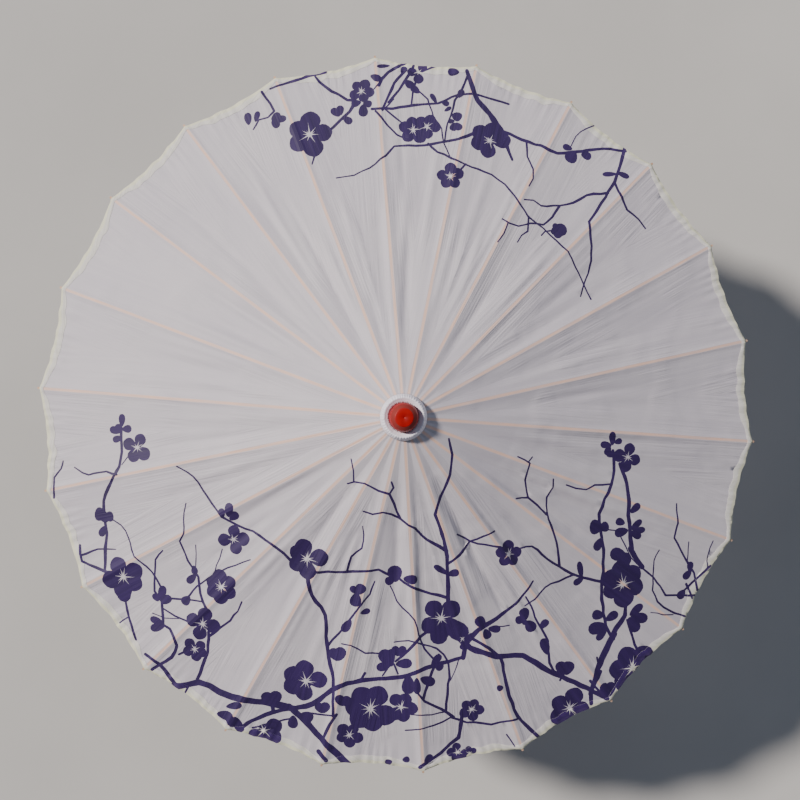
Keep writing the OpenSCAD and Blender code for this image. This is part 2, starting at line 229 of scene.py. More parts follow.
# Each twig: width at its start, width at its end, and the points it passes.
TWIGS = [
    # left group
    (3.0, 3.6, [(-326, 12), (-327, -20), (-331, -37), (-339, -48), (-355, -76), (-355, -115),
        (-361, -158)]),
    (2.4, 1.2, [(-335, -46), (-348, -42), (-356, -42), (-370, -45), (-378, -42), (-388, -35)]),
    (1.4, 2.2, [(-402, -27), (-405, -36), (-415, -46), (-417, -70)]),
    (1.0, 1.0, [(-320, -26), (-328, -35)]),
    (2.8, 1.0, [(-390, -140), (-367, -133), (-345, -134)]),
    (2.8, 3.2, [(-390, -128), (-389, -147), (-363, -159), (-345, -166)]),
    (1.2, 2.0, [(-347, -98), (-335, -106), (-328, -120), (-322, -143), (-303, -162), (-293, -184)]),
    (1.6, 2.2, [(-287, -137), (-297, -148), (-303, -185), (-296, -196)]),
    (2.6, 3.8, [(-295, -198), (-295, -226), (-288, -231), (-282, -252), (-290, -266), (-316, -281)]),
    (1.6, 2.2, [(-295, -206), (-280, -216), (-262, -224)]),
    (1.0, 1.0, [(-308, -212), (-293, -218), (-276, -219)]),
    (2.4, 2.8, [(-340, -192), (-338, -216), (-332, -244)]),
    (1.4, 1.6, [(-338, -216), (-350, -223)]),
    (2.6, 3.0, [(-281, -263), (-266, -256)]),
    (1.4, 3.0, [(-261, -40), (-242, -53), (-213, -100), (-178, -119), (-152, -138), (-132, -160)]),
    (1.2, 2.6, [(-254, -83), (-258, -94), (-259, -118), (-265, -126), (-258, -150), (-248, -170),
        (-247, -190),
                (-241, -208)]),
    (0.9, 1.0, [(-247, -132), (-250, -160)]),
    (1.2, 2.2, [(-184, -151), (-220, -163), (-250, -180), (-266, -196), (-292, -193)]),
    (1.6, 1.8, [(-266, -196), (-246, -199)]),
    (1.0, 1.2, [(-216, -138), (-228, -167)]),
    (1.6, 3.0, [(-199, -201), (-205, -212), (-215, -223), (-241, -241)]),
    (2.8, 3.6, [(-242, -236), (-246, -262), (-263, -296)]),
    # the thick limb along the lower left edge
    (3.6, 4.6, [(-322, -262), (-306, -275), (-290, -300)]),
    (7.0, 7.5, [(-292, -303), (-275, -302), (-262, -299), (-248, -303), (-238, -311), (-222, -318),
        (-205, -322),
                (-185, -326), (-170, -329), (-150, -336)]),
    (4.0, 4.0, [(-176, -328), (-175, -338)]),
    (2.4, 2.0, [(-272, -300), (-280, -313)]),
    (4.6, 4.0, [(-150, -334), (-165, -337), (-177, -339), (-195, -346), (-208, -352), (-217, -359)]),
    (1.6, 2.4, [(-155, -348), (-180, -353), (-202, -358)]),
    (6.5, 8.5, [(-156, -332), (-137, -354), (-116, -382), (-93, -411)]),
    (2.8, 3.2, [(-119, -374), (-110, -356), (-101, -344)]),
    (4.6, 4.6, [(-126, -391), (-118, -403)]),
    (5.5, 4.0, [(-150, -335), (-128, -330), (-95, -308), (-68, -303), (-22, -302), (8, -292),
        (50, -283)]),
    (4.6, 5.5, [(50, -284), (53, -268), (60, -256)]),
    (2.2, 2.6, [(-70, -303), (-64, -294)]),
    # the upright stem left of the middle
    (4.4, 3.2, [(-120, -172), (-117, -196), (-104, -220), (-105, -264), (-101, -300), (-105, -346)]),
    (1.6, 2.0, [(-105, -345), (-122, -343), (-137, -341)]),
    (2.4, 1.4, [(-104, -258), (-84, -236), (-64, -212), (-52, -198), (-45, -183)]),
    (2.6, 2.4, [(-115, -168), (-78, -170), (-40, -170), (-28, -177)]),
    (2.4, 1.0, [(-75, -169), (-69, -152), (-57, -143), (-53, -128), (-54, -118)]),
    (1.4, 1.6, [(-88, -256), (-78, -258), (-62, -269), (-46, -271)]),
    (2.4, 3.2, [(-18, -181), (-5, -192), (10, -200), (34, -208)]),
    # the upright stem in the middle
    (2.0, 4.2, [(46, -27), (49, -45), (45, -67), (34, -90), (26, -110), (31, -125), (34, -140),
        (37, -160), (36, -214)]),
    (3.6, 1.4, [(37, -153), (22, -142), (11, -134), (4, -124), (-4, -120), (-13, -111), (-30, -103),
        (-42, -105),
                (-52, -101)]),
    (2.4, 1.6, [(-12, -112), (-18, -95), (-22, -83), (-34, -79), (-48, -70), (-60, -67), (-67, -69)]),
    (1.6, 1.0, [(-60, -67), (-59, -55), (-61, -42)]),
    (1.8, 1.8, [(-22, -83), (-17, -76), (-19, -70)]),
    (2.8, 1.6, [(38, -168), (51, -159), (64, -145), (79, -140), (92, -135)]),
    (1.6, 2.2, [(50, -135), (65, -145), (80, -150), (98, -154)]),
    # the crossing limbs under the middle
    (1.6, 6.0, [(134, -198), (122, -214), (112, -224), (103, -230), (84, -243), (68, -250), (50, -270)]),
    (1.4, 1.2, [(82, -249), (105, -249)]),
    (6.5, 5.0, [(46, -258), (58, -272), (90, -285), (120, -288), (150, -311), (180, -328), (219, -353)]),
    (3.0, 3.8, [(62, -261), (80, -274), (94, -288), (98, -320), (110, -363), (138, -397)]),
    (2.4, 2.4, [(110, -367), (80, -371), (50, -366), (32, -358)]),
    (2.2, 3.4, [(-8, -318), (3, -334), (22, -346), (35, -358)]),
    (1.6, 1.2, [(27, -350), (10, -352), (-14, -350)]),
    (1.8, 1.4, [(32, -358), (12, -367), (-22, -370)]),
    (3.0, 2.6, [(1, -331), (10, -306), (17, -290), (22, -277)]),
    (3.0, 1.2, [(27, -348), (29, -330), (33, -307), (33, -288), (28, -278), (20, -270), (5, -263),
        (-12, -257),
                (-28, -258)]),
    (1.0, 1.0, [(45, -285), (40, -300), (34, -311)]),
    (1.2, 2.0, [(-28, -190), (-22, -208), (-3, -232), (0, -250), (6, -268), (15, -281)]),
    (3.4, 2.4, [(16, -246), (3, -252), (-12, -268), (-28, -282)]),
    (1.8, 1.8, [(-30, -285), (-26, -298)]),
    (1.8, 1.8, [(-34, -285), (-44, -299)]),
    (4.0, 3.6, [(46, -350), (43, -370), (40, -385), (30, -392), (18, -402), (-8, -419)]),
    (1.6, 1.4, [(97, -386), (106, -402)]),
    (1.6, 3.0, [(125, -216), (132, -228), (135, -242), (143, -258), (149, -272), (151, -300),
        (158, -317)]),
    (2.0, 2.2, [(168, -314), (163, -324)]),
    (3.6, 4.4, [(212, -318), (205, -330), (200, -345), (200, -358)]),
    # right group
    (1.6, 3.2, [(98, -155), (120, -158), (135, -157), (152, -174), (180, -195), (200, -203),
        (225, -210)]),
    (2.2, 1.4, [(182, -196), (148, -207), (135, -220), (124, -227)]),
    (2.6, 1.4, [(166, -184), (163, -155), (157, -135), (153, -120), (154, -102), (161, -92), (162, -82)]),
    (2.2, 1.4, [(153, -122), (142, -109), (132, -101), (118, -100)]),
    (2.0, 1.4, [(132, -100), (130, -80), (135, -61), (122, -53)]),
    (1.2, 1.2, [(134, -60), (139, -55)]),
    (3.0, 3.4, [(235, -56), (236, -80), (230, -95), (215, -128), (219, -170), (215, -220), (220, -262),
        (229, -280)]),
    (1.8, 1.4, [(230, -94), (210, -93), (200, -97), (188, -95), (177, -90)]),
    (3.4, 4.4, [(243, -72), (250, -95), (252, -150), (254, -176)]),
    (6.0, 5.0, [(252, -172), (259, -186), (266, -196)]),
    (1.8, 2.2, [(253, -176), (266, -197), (280, -210), (288, -222), (294, -233), (305, -235),
        (332, -238)]),
    (1.2, 1.2, [(241, -158), (247, -170), (252, -183), (260, -192)]),
    (1.2, 2.2, [(288, -178), (281, -190), (279, -210), (278, -225), (284, -240), (291, -248),
        (305, -256), (318, -262)]),
    (1.0, 1.2, [(275, -252), (290, -256), (303, -258)]),
    (1.4, 2.6, [(311, -125), (311, -148), (307, -165), (320, -190), (331, -211), (335, -232)]),
    (1.0, 1.2, [(325, -172), (323, -195)]),
    (1.0, 1.4, [(356, -174), (349, -190), (349, -206)]),
    (2.4, 2.0, [(352, -204), (335, -217), (316, -232)]),
    (2.6, 2.6, [(321, -223), (328, -241)]),
    (1.2, 1.2, [(225, -147), (235, -149)]),
    (3.4, 8.0, [(245, -235), (243, -252), (228, -276), (212, -306)]),
    (8.0, 5.0, [(230, -274), (215, -300), (205, -325), (199, -345)]),
    (1.8, 1.8, [(208, -300), (210, -314)]),
    (2.4, 3.0, [(246, -258), (252, -280), (259, -299), (272, -303)]),
    (2.8, 3.0, [(199, -328), (216, -350)]),
    # upper group, left half
    (1.8, 4.0, [(-130, 395), (-108, 401), (-84, 407), (-64, 411)]),
    (2.4, 3.6, [(-76, 406), (-66, 393), (-50, 381), (-40, 373), (-31, 372)]),
    (3.0, 1.4, [(-140, 392), (-131, 376), (-126, 366), (-134, 359), (-144, 357), (-152, 346)]),
    (3.0, 3.8, [(-64, 335), (-50, 348), (-38, 358), (-31, 370)]),
    (2.4, 1.4, [(-81, 308), (-85, 296)]),
    (4.0, 3.0, [(24, 412), (10, 405), (2, 396), (-2, 388)]),
    (1.4, 1.4, [(0, 393), (-8, 384)]),
    (1.4, 1.4, [(0, 356), (14, 370)]),
    (3.2, 2.2, [(-12, 359), (12, 358), (38, 361), (66, 362), (90, 371), (110, 371), (125, 365),
        (149, 357)]),
    (2.8, 3.2, [(0, 357), (9, 376), (20, 396), (30, 405)]),
    (2.6, 3.0, [(8, 366), (22, 382), (33, 399), (41, 412)]),
    (1.6, 2.4, [(34, 360), (38, 380), (45, 400)]),
    (1.6, 1.2, [(42, 381), (54, 367), (60, 345), (67, 330), (68, 312), (74, 293)]),
    (2.2, 1.8, [(-8, 356), (4, 338), (15, 325), (27, 318)]),
    (1.8, 1.6, [(4, 357), (15, 346), (27, 336)]),
    (1.2, 3.2, [(-58, 277), (-38, 279), (-20, 286), (0, 300), (11, 311), (45, 310), (85, 315),
        (105, 322)]),
    (1.6, 2.2, [(50, 403), (70, 411)]),
    # upper group, right half
    (2.2, 1.4, [(50, 312), (60, 301), (90, 284), (112, 274), (134, 258), (158, 218), (174, 203),
        (187, 188),
                (200, 175), (207, 157), (215, 135), (222, 118)]),
    (1.8, 1.8, [(91, 284), (83, 276)]),
    (4.0, 6.5, [(103, 401), (107, 380), (112, 362), (125, 345), (136, 324)]),
    (5.5, 2.4, [(134, 326), (141, 305), (146, 287)]),
    (2.6, 1.6, [(103, 394), (95, 378), (86, 364), (79, 345), (71, 325), (69, 312)]),
    (3.4, 3.0, [(122, 324), (139, 323), (160, 312), (182, 303), (200, 293), (230, 295), (258, 298),
        (284, 294)]),
    (2.0, 1.2, [(165, 310), (164, 290), (169, 275), (168, 263), (162, 254)]),
    (1.0, 1.2, [(218, 302), (225, 314), (240, 323), (252, 328)]),
    (3.6, 2.6, [(284, 299), (275, 276), (266, 256), (252, 238), (240, 222), (229, 209)]),
    (2.6, 1.4, [(229, 209), (229, 180), (226, 163), (222, 148), (214, 132), (210, 122)]),
    (3.0, 1.6, [(266, 255), (272, 237), (278, 222), (291, 210), (298, 199)]),
    (3.2, 1.4, [(256, 243), (230, 241), (213, 232), (197, 230), (174, 230), (166, 237), (155, 238)]),
    (2.6, 1.4, [(196, 229), (186, 216), (174, 208), (160, 210), (145, 207), (134, 211), (127, 216)]),
    (1.4, 1.2, [(133, 211), (127, 199), (119, 189)]),
    (2.0, 1.2, [(158, 218), (155, 200), (148, 195), (142, 188)]),
    (1.8, 1.4, [(182, 200), (175, 199), (171, 195)]),
]

# Each blossom: centre, radius, direction of its first petal in degrees, and how many petals it shows
# or the direction of each.
BLOSSOMS = [
    (-308, -16, 18, 70, (155, 62, 316, 243)), (-339, -167, 26, 100, (108, 190, 262, 328, 24)),
    (-248, -226, 20, 80, (153, 70, 345, 247)), (-261, -257, 15, 60, (125, 30, 275, 195, 330)),
    (-221, -182, 20, 95, (150, 95, 27, 320, 262, 205)), (-202, -127, 18, 85, (80, 180, 283, 0)),
    (-119, -153, 23, 75, (5, 268, 203, 140, 102)), (-133, -301, 27, 100, (92, 150, 198, 255, 5)),
    (-61, -340, 30, 90, (118, 60, 170, 222, 275, 330)), (-25, -340, 19, 80, (120, 62, 350, 278, 225)),
    (-88, -372, 17, 110, (130, 195, 268, 335, 55)), (27, -233, 26, 110, (122, 42, 210, 262, 315)),
    (50, -260, 10, 300, 3), (107, -163, 15, 90, 5), (57, -350, 15, 60, 5),
    (174, -361, 25, 120, (147, 70, 350, 215, 255)), (-189, -362, 22, 140, (22, 208, 262, 322)),
    (253, -65, 17, 75, (75, 165, 252, 335)), (241, -213, 27, 90, (152, 205, 273, 342, 40, 95)),
    (252, -319, 30, 115, (113, 178, 235, 45, 290)), (-86, 333, 28, 80, (85, 4, 282, 216, 150)),
    (-23, 383, 15, 60, 5), (34, 330, 18, 90, 5), (50, 333, 16, 60, 5), (46, 403, 14, 90, (50, 265, 175)),
    (72, 270, 16, 20, 5), (122, 312, 23, 80, (72, 0, 255, 190, 135)), (38, -404, 13, 100, 4),
    (52, -407, 10, 40, 3),
]

# Each bud, leaf or single petal: where it is joined on, length, width, and the way it points in degrees.
BUDS = [
    # left group
    (-325, 9, 15, 8, 84), (-326, 3, 15, 9, 163), (-325, 6, 12, 9, 0), (-325, -3, 13, 8, 195),
    (-328, 4, 9, 7, 110),
    (-353, -94, 15, 16, 165), (-356, -95, 12, 12, 0), (-355, -88, 14, 11, 268), (-356, -106, 14, 9, 240),
    (-339, -170, 28, 17, 265), (-297, -198, 20, 10, 72), (-294, -201, 14, 10, 42),
    (-299, -198, 11, 8, 118),
    (-295, -225, 18, 9, 157), (-294, -227, 19, 10, 192), (-252, -156, 11, 8, 275),
    (-250, -167, 15, 9, 218),
    (-260, -193, 13, 11, 220), (-211, -101, 11, 8, 100), (-205, -101, 17, 10, 80),
    (-204, -104, 13, 10, 35),
    # along the lower edge
    (-178, -330, 18, 14, 105), (-174, -330, 19, 14, 72), (-117, -342, 14, 11, 112),
    (-117, -342, 15, 11, 65),
    (-92, -334, 16, 11, 112), (-92, -334, 14, 11, 60), (-152, -344, 17, 12, 262),
    (-143, -342, 16, 14, 330),
    (-231, -330, 20, 9, 8), (-243, -338, 20, 12, 345), (-232, -338, 20, 12, 300),
    (-222, -342, 18, 9, 290),
    (-224, -350, 16, 10, 312), (-94, -277, 17, 12, 112), (-94, -277, 18, 13, 70), (-40, -409, 9, 8, 200),
    (-28, -409, 9, 8, 10), (-2, -413, 13, 9, 40),
    # the middle
    (-75, -227, 18, 10, 233), (-64, -220, 12, 7, 15), (-66, -196, 11, 8, 125), (-66, -197, 14, 12, 55),
    (-66, -195, 17, 13, 257), (-22, -186, 20, 16, 90), (-22, -182, 12, 10, 195), (-13, -182, 16, 11, 352),
    (30, -236, 34, 22, 318), (26, -236, 29, 20, 262), (121, -243, 8, 7, 300), (38, -181, 20, 7, 143),
    (37, -181, 13, 9, 12), (76, -248, 16, 12, 122), (80, -250, 15, 9, 350),
    (76, -250, 13, 10, 290), (13, -290, 17, 9, 48), (17, -289, 11, 10, 325), (-32, -288, 24, 16, 118),
    (-33, -285, 18, 11, 195), (-28, -286, 19, 12, 5), (-33, -288, 22, 9, 88), (-24, -276, 14, 9, 110),
    (-23, -276, 14, 9, 65), (-14, -300, 24, 15, 265), (-5, -303, 21, 9, 268), (-1, -304, 19, 12, 332),
    (168, -318, 19, 13, 108), (170, -318, 18, 15, 75), (95, -324, 8, 8, 190), (149, -290, 22, 11, 105),
    (141, -257, 14, 9, 52), (124, -244, 15, 12, 98), (124, -243, 12, 10, 185), (125, -245, 16, 13, 302),
    # right group
    (192, -202, 22, 7, 98), (194, -200, 14, 8, 215),
    (235, -50, 16, 8, 90), (234, -50, 14, 8, 170), (237, -47, 10, 7, 10), (232, -50, 12, 8, 240),
    (238, -62, 12, 8, 160),
    (219, -143, 16, 17, 175), (215, -145, 12, 12, 15), (217, -156, 16, 10, 240), (253, -130, 15, 9, 42),
    (246, -142, 12, 9, 155), (250, -150, 17, 11, 190), (253, -150, 17, 8, 38), (254, -152, 17, 8, 2),
    (253, -152, 15, 9, 325), (326, -209, 13, 8, 85), (328, -207, 14, 9, 222), (319, -230, 13, 10, 225),
    (248, -183, 23, 15, 155), (240, -197, 22, 16, 70), (220, -351, 19, 12, 108), (220, -351, 19, 13, 72),
    (221, -262, 23, 15, 188), (221, -266, 18, 9, 225), (218, -250, 15, 12, 165), (220, -256, 17, 11, 30),
    (249, -253, 20, 10, 38), (250, -254, 22, 13, 345), (248, -255, 22, 14, 300),
    # upper group
    (-157, 352, 16, 9, 95), (-149, 355, 14, 7, 75), (-130, 355, 13, 9, 38), (-130, 355, 18, 9, 3),
    (-130, 354, 12, 9, 318),
    (-50, 353, 14, 9, 130), (-49, 354, 13, 9, 90), (-46, 352, 13, 9, 318), (-22, 368, 11, 9, 340),
    (-22, 366, 16, 11, 268),
    (-24, 369, 12, 9, 190), (-11, 402, 14, 9, 330), (-8, 395, 10, 6, 20), (13, 413, 16, 5, 180),
    (24, 412, 12, 5, 30),
    (29, 393, 13, 10, 315), (45, 376, 13, 9, 135), (26, 402, 10, 8, 60), (64, 362, 14, 6, 115),
    (70, 362, 9, 7, 345),
    (90, 367, 12, 8, 60), (72, 351, 10, 5, 30), (94, 400, 14, 10, 175), (86, 337, 12, 12, 88),
    (83, 338, 8, 6, 180),
    (83, 336, 11, 9, 250), (84, 336, 11, 9, 295), (222, 296, 17, 15, 235), (219, 298, 12, 8, 160),
    (229, 292, 13, 10, 340),
    (270, 266, 18, 6, 180), (270, 268, 16, 7, 335), (182, 198, 20, 15, 12), (188, 204, 14, 10, 285),
    (189, 198, 11, 7, 95),
    (192, 201, 9, 6, 185),
]


def ring(x, y, radius, corners=8):
    turns = np.arange(corners) * 2 * math.pi / corners
    return np.stack([x + radius * np.cos(turns), y + radius * np.sin(turns)], 1)


def smooth_line(points, spacing):
    """Points about spacing apart along a curve that passes near the given ones."""
    p = np.array(points, float)
    p = np.vstack([2 * p[0] - p[1], p, 2 * p[-1] - p[-2]])
    out = []
    for k in range(1, len(p) - 2):
        a, b, c, d = p[k - 1 : k + 3]
        count = max(1, int(round(np.linalg.norm(c - b) / spacing)))
        for s in np.arange(count) / count:
            curve = 0.5 * (
                2 * b + (c - a) * s + (2 * a - 5 * b + 4 * c - d) * s * s + (3 * b - a - 3 * c + d) * s**3
            )
            out.append(0.45 * curve + 0.55 * (b + (c - b) * s))
    out.append(p[-2])
    return np.array(out)


def twig_shapes(width0, width1, points):
    line = smooth_line(points, 9)
    wobble = rng.normal(0, 0.35, (len(line), 2))
    wobble[0] = wobble[-1] = 0
    line = line + wobble
    widths = np.linspace(width0, width1, len(line)) * rng.uniform(0.95, 1.3, len(line)) + 0.2
    shapes = [ring(x, y, w / 2) for (x, y), w in zip(line, widths)]
    for k in range(len(line) - 1):
        way = line[k + 1] - line[k]
        side = np.array([-way[1], way[0]]) / (np.linalg.norm(way) + 1e-9)
        a, b = side * widths[k] / 2, side * widths[k + 1] / 2
        shapes.append(np.array([line[k] - a, line[k + 1] - b, line[k + 1] + b, line[k] + a]))
    return shapes


def placed(outline, x, y, turn):
    c, s = math.cos(turn), math.sin(turn)
    return outline @ np.array([[c, s], [-s, c]]) + (x, y)


def petal(length):
    """A rounded petal along +X, broadest past its middle, with its narrow end at the centre."""
    along = 0.5 - 0.5 * np.cos(np.linspace(0.12, 1, 9) * math.pi)
    side = 0.42 * np.sin(math.pi * along**1.35).clip(0) ** 0.6
    upper = np.stack([along, side], 1)
    lower = np.stack([along[-2::-1], -side[-2::-1]], 1)
    return np.vstack([lower[::-1], upper[::-1]])[:-1] * length


def blossom_shapes(x, y, radius, turn, petals):
    """The petals, and the pale star of stamens that is left clear of ink.

    petals is how many there are, or the direction of each in degrees.
    """
    ink = []
    clear = []
    if isinstance(petals, int):
        gap = 72 if petals > 3 else 62
        petals = [turn + gap * k + rng.normal(0, 5) for k in range(petals)]
    for way in petals:
        size = radius * rng.uniform(0.93, 1.1)
        ink.append(placed(petal(size), x, y, math.radians(way)))
    if len(petals) > 3:
        ink.append(ring(x, y, 0.3 * radius))
    rays = 2 * len(petals) + 1
    for k in range(rays):
        way = math.radians(turn + 360 * k / rays + rng.normal(0, 8))
        long = radius * (rng.uniform(0.36, 0.56) if k % 2 == 0 else rng.uniform(0.22, 0.36))
        thin = 0.04 * radius
        ray = np.array([[0, -thin], [long * 0.6, -0.3], [long, 0], [long * 0.6, 0.3], [0, thin]])
        clear.append(placed(ray, x, y, way))
    clear.append(ring(x, y, 0.1 * radius))
    return ink, clear


def bud_shape(x, y, length, width, turn):
    turns = np.arange(14) * 2 * math.pi / 14
    along = 0.5 - 0.5 * np.cos(turns)
    side = -np.sin(turns) * (0.55 + 0.45 * along)
    outline = np.stack([along * length, side * width / 2 * 1.3], 1)
    return placed(outline, x, y, math.radians(turn))


def settled(outline):
    """An outline in metres. The layout was read off for an earlier camera, and this suits it to the one
    used here: everything goes a little towards +X, and more so far from the middle."""
    x, y = outline.T
    reach = np.hypot(x, y)
    moved = np.stack([x + 1.5 + 0.0065 * reach + 0.000016 * x * x, y * (0.9966 + 0.000016 * x)], 1)
    return moved / 1000


def make_print():
    """All the ink shapes and all the clear ones, as outlines in metres."""
    ink = []
    clear = []
    for twig in TWIGS:
        ink += twig_shapes(*twig)
    for blossom in BLOSSOMS:
        petals, star = blossom_shapes(*blossom)
        ink += petals
        clear += star
    for bud in BUDS:
        ink.append(bud_shape(*bud))
    return [settled(o) for o in ink], [settled(o) for o in clear]


INK, CLEAR = make_print()

# ---------------------------------------------------------------- materials


class Surface:
    """A material under construction, with short calls for its nodes."""

    def __init__(self, name):
        self.material = bpy.data.materials.new(name)
        self.material.use_nodes = True
        self.tree = self.material.node_tree
        self.shader = self.tree.nodes["Principled BSDF"]

    def node(self, kind, **settings):
        made = self.tree.nodes.new(kind)
        for key, value in settings.items():
            setattr(made, key, value)
        return made

    def feed(self, socket, value):
        if isinstance(value, bpy.types.NodeSocket):
            self.tree.links.new(value, socket)
        else:
            socket.default_value = value

    def set(self, **values):
        """Fixed numbers on the shader's own sockets, named in lower case with underscores."""
        for key, value in values.items():
            self.shader.inputs[key.replace("_", " ").title()].default_value = value

    def drive(self, **values):
        for key, value in values.items():
            self.feed(self.shader.inputs[key.replace("_", " ").title()], value)

    def place(self):
        return self.node("ShaderNodeTexCoord").outputs["Object"]

    def uv(self):
        return self.node("ShaderNodeUVMap", uv_map="cloth").outputs["UV"]

    def split(self, vector):
        made = self.node("ShaderNodeSeparateXYZ")
        self.feed(made.inputs[0], vector)
        return made.outputs

    def join(self, x, y, z):
        made = self.node("ShaderNodeCombineXYZ")
        for socket, value in zip(made.inputs, (x, y, z)):
            self.feed(socket, value)
        return made.outputs[0]

    def math(self, operation, a, b=0.0):
        made = self.node("ShaderNodeMath", operation=operation)
        self.feed(made.inputs[0], a)
        self.feed(made.inputs[1], b)
        return made.outputs[0]

    def stretch(self, vector, scale):
        made = self.node("ShaderNodeVectorMath", operation="MULTIPLY")
        self.feed(made.inputs[0], vector)
        made.inputs[1].default_value = scale
        return made.outputs[0]

    def noise(self, vector, scale, detail=3.0, roughness=0.5):
        made = self.node("ShaderNodeTexNoise")
        self.feed(made.inputs["Vector"], vector)
        made.inputs["Scale"].default_value = scale
        made.inputs["Detail"].default_value = detail
        made.inputs["Roughness"].default_value = roughness
        return made.outputs["Fac"]

    def span(self, value, low, high, to_low=0.0, to_high=1.0):
        """value's range low to high laid onto to_low to to_high, smoothly, with the ends held."""
        made = self.node("ShaderNodeMapRange", interpolation_type="SMOOTHSTEP")
        self.feed(made.inputs["Value"], value)
        made.inputs["From Min"].default_value = low
        made.inputs["From Max"].default_value = high
        made.inputs["To Min"].default_value = to_low
        made.inputs["To Max"].default_value = to_high
        return made.outputs["Result"]

    def mix(self, share, a, b):
        made = self.node("ShaderNodeMix", data_type="RGBA")
        self.feed(made.inputs["Factor"], share)
        colours = [s for s in made.inputs if s.type == "RGBA"]
        self.feed(colours[0], a if isinstance(a, bpy.types.NodeSocket) else (*a, 1))
        self.feed(colours[1], b if isinstance(b, bpy.types.NodeSocket) else (*b, 1))
        return next(s for s in made.outputs if s.type == "RGBA")

    def bump(self, height, distance, strength=1.0):
        made = self.node("ShaderNodeBump")
        self.feed(made.inputs["Height"], height)
        made.inputs["Distance"].default_value = distance
        made.inputs["Strength"].default_value = strength
        return made.outputs["Normal"]


def threads(s, place):
    """Woven threads with slubs, crossing at right angles over the whole canopy."""
    warp = s.noise(s.stretch(place, (110, 1500, 40)), 1, 2)
    weft = s.noise(s.stretch(place, (1500, 110, 40)), 1, 2)
    return s.math("ADD", warp, weft)


def woven(name, light, shade, rib_tint=None, streaks=1.0):
    """Thin satin-faced cloth with its crease valleys painted darker as painted shade. rib_tint colours
    the line where a rib lies under it.
    """
    s = Surface(name)
    place = s.place()
    weave = threads(s, place)
    along = s.stretch(s.uv(), (7, 210, 1))
    creases = s.noise(along, 1, 4, 0.55)
    fine = s.noise(s.stretch(s.uv(), (11, 560, 1)), 1, 3)
    patches = s.noise(place, 9, 2)
    loose = s.span(s.noise(place, 14, 2), 0.42, 0.62, 0.15, 1.0)
    # painted shade: the colour goes towards shade where the crease noise, which also raises the bump, is
    # low, so the crease valleys are painted darker; the patches add tone at random
    tone = s.math("ADD", s.math("MULTIPLY", creases, 0.5), s.math("MULTIPLY", patches, 0.5))
    colour = s.mix(s.span(tone, 0.3, 0.7), shade, light)
    colour = s.mix(s.span(weave, 0.75, 1.25, 0.0, 0.12), colour, shade)
    if rib_tint:
        u, v, _ = s.split(s.uv())
        over = s.span(s.math("ABSOLUTE", v), 0.0009, 0.0023, 1, 0)
        worn = s.span(s.noise(s.stretch(s.uv(), (30, 300, 1)), 1, 3), 0.3, 0.7, 0.6, 1.0)
        strip = s.math("MULTIPLY", s.math("MULTIPLY", over, worn), s.span(u, 0.02, 0.027))
        colour = s.mix(strip, colour, rib_tint)
    creased = s.math("ADD", creases, s.math("MULTIPLY", fine, 0.35))
    folds = s.math("MULTIPLY", s.math("MULTIPLY", creased, loose), 4.8 * streaks)
    relief = s.math("ADD", folds, s.math("MULTIPLY", weave, 0.35))
    s.drive(
        base_color=colour,
        roughness=s.span(tone, 0.2, 0.8, 0.59, 0.69),
        normal=s.bump(relief, 0.0004, 0.6),
    )
    return s.material


def hem_fabric(name, inner, outer, shade):
    """The turned hem: yellower along its outer half, whiter inside, with pull lines from its stitches
    that are bumped and painted darker as painted shade.
    """
    s = Surface(name)
    place = s.place()
    weave = threads(s, place)
    along, across, _ = s.split(s.uv())
    ragged = s.math("MULTIPLY", s.noise(place, 60, 3), 0.004)
    edge = s.math("ADD", across, ragged)
    colour = s.mix(s.span(edge, 0.0045, 0.0075), outer, inner)
    pulls = s.noise(s.stretch(s.uv(), (260, 60, 1)), 1, 3)
    # painted shade: the pull lines are painted darker
    colour = s.mix(s.span(pulls, 0.45, 0.75, 0.0, 0.7), colour, shade)
    relief = s.math("ADD", s.math("MULTIPLY", pulls, 2.0), s.math("MULTIPLY", weave, 0.35))
    s.drive(
        base_color=colour,
        roughness=s.span(pulls, 0.3, 0.7, 0.62, 0.75),
        normal=s.bump(relief, 0.0004, 0.6),
    )
    return s.material


def turned_wood(name, dark, light, roughness, coat=0.0, upright=True):
    """Wood or bamboo with its grain along the shaft, or along a rib if it isn't upright."""
    s = Surface(name)
    place = s.place()
    x, y, z = s.split(place)
    if upright:
        grain_place = s.stretch(place, (420, 420, 9))
    else:
        reach = s.math("SQRT", s.math("ADD", s.math("MULTIPLY", x, x), s.math("MULTIPLY", y, y)))
        turn = s.math("MULTIPLY", s.math("ARCTAN2", y, x), 60)
        grain_place = s.join(s.math("MULTIPLY", reach, 12), turn, s.math("MULTIPLY", z, 30))
    grain = s.noise(grain_place, 1, 5, 0.6)
    blotch = s.noise(place, 38, 3)
    tone = s.math("ADD", s.math("MULTIPLY", grain, 0.7), s.math("MULTIPLY", blotch, 0.3))
    s.drive(
        base_color=s.mix(s.span(tone, 0.34, 0.66), dark, light),
        roughness=s.span(tone, 0.3, 0.7, roughness + 0.12, roughness - 0.06),
        normal=s.bump(grain, 0.0003, 0.5),
    )
    s.set(coat_weight=coat, coat_roughness=0.18)
    return s.material


